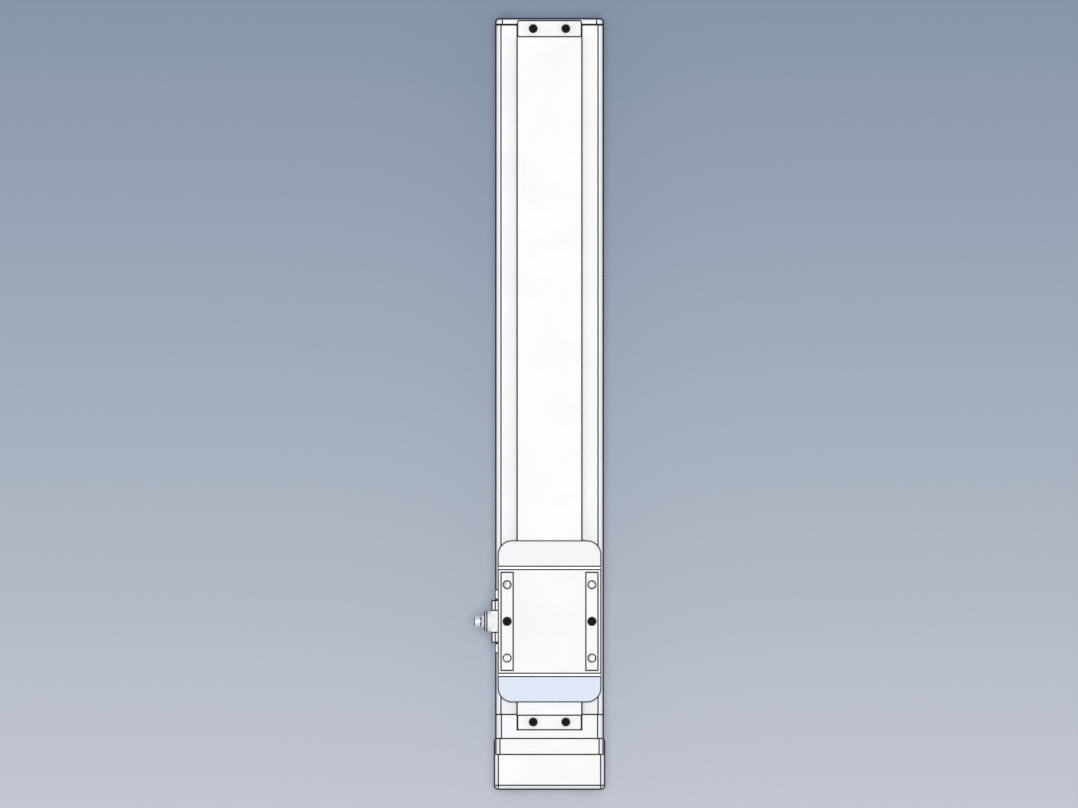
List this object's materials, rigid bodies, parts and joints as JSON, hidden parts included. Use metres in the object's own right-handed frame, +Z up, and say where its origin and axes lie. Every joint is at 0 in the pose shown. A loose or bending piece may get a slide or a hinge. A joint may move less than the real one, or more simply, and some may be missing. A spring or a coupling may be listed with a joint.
{
  "type": "ball screw linear axis",
  "caption": "Long covered ball screw axis: a carriage with payload pads slides on inner rails, driven by a screw whose coupling sits in the housing at the motor end.",
  "frame": {"origin": "on the underside, on the centre line, below the middle of the base extrusion", "axes": "+Y along the axis from the motor end to the far end, +X across to the right, +Z up out of the table"},
  "size_m": [0.0796, 0.4716, 0.0619],
  "materials": {
    "anodised_white": "fine matt white anodised",
    "brushed_cover": "fine brushed along the axis",
    "machined_white": "satin white anodised, machined",
    "hardened_steel": "ground",
    "bearing_steel": "polished",
    "black_oxide": "black oxide",
    "plated_steel": "bright zinc",
    "cap_white": "fine texture",
    "cap_pale_blue": "fine texture",
    "dark_plastic": "plain",
    "black_rubber": "matt",
    "red_elastomer": "matt",
    "machined_aluminium": "turned",
    "saddle_steel": "ground"
  },
  "bodies": {
    "frame": {"base_extrusion": "anodised_white", "guide_rail_right": "hardened_steel", "guide_rail_left": "hardened_steel", "side_cover_right": "anodised_white", "side_cover_left": "anodised_white", "center_cover": "brushed_cover", "cover_clamp_near": "machined_white", "cover_clamp_far": "machined_white", "cover_clamp_screws": "black_oxide", "far_end_cap": "machined_white", "far_end_cap_screws": "black_oxide", "far_support_block": "machined_white", "far_support_screws": "black_oxide", "far_bearing_outer_ring": "bearing_steel", "near_bearing_block": "machined_white", "near_bearing_block_screws": "black_oxide", "near_bearing_outer_rings": "bearing_steel", "bearing_retainer": "hardened_steel", "bearing_retainer_screws": "black_oxide", "coupling_housing": "machined_white", "coupling_housing_screws": "black_oxide", "coupling_access_plug": "dark_plastic", "near_bumper": "black_rubber", "far_bumper": "black_rubber"},
    "screw": {"screw_shaft": "hardened_steel", "near_bearing_inner_rings": "bearing_steel", "screw_spacer": "hardened_steel", "bearing_lock_nut": "black_oxide", "far_bearing_inner_ring": "bearing_steel", "far_snap_ring": "hardened_steel", "coupling_hub_screw_side": "machined_aluminium", "coupling_hub_motor_side": "machined_aluminium", "coupling_spider": "red_elastomer", "coupling_clamp_screws": "black_oxide"},
    "carriage": {"carriage_saddle": "saddle_steel", "ball_nut": "bearing_steel", "ball_nut_caps": "dark_plastic", "ball_nut_key": "hardened_steel", "guide_balls_left": "bearing_steel", "guide_balls_right": "bearing_steel", "guide_end_plate_screws": "black_oxide", "carriage_table": "machined_white", "carriage_table_screws": "black_oxide", "lube_port_block": "machined_white", "lube_port_screws": "black_oxide", "grease_nipple": "plated_steel", "guide_end_plate_near": "dark_plastic", "guide_end_plate_far": "dark_plastic", "seal_plate_near": "plated_steel", "seal_plate_far": "plated_steel", "carriage_end_cap_near": "cap_pale_blue", "wiper_near": "black_rubber", "carriage_end_cap_far": "cap_white", "wiper_far": "black_rubber", "carriage_end_cap_screws": "black_oxide"}
  },
  "joints": [
    {"name": "carriage_travel", "type": "slide", "parent": "frame", "child": "carriage", "axis": [0, 1, 0], "range_m": [0, 0.3]},
    {"name": "screw_spin", "type": "hinge", "parent": "frame", "child": "screw", "pos_m": [0, 0, 0.027], "axis": [0, 1, 0], "range_deg": [-10800, 0]}
  ],
  "couplings": [
    {"joint": "screw_spin", "follows": "carriage_travel", "rad_per_m": -628.32}
  ]
}
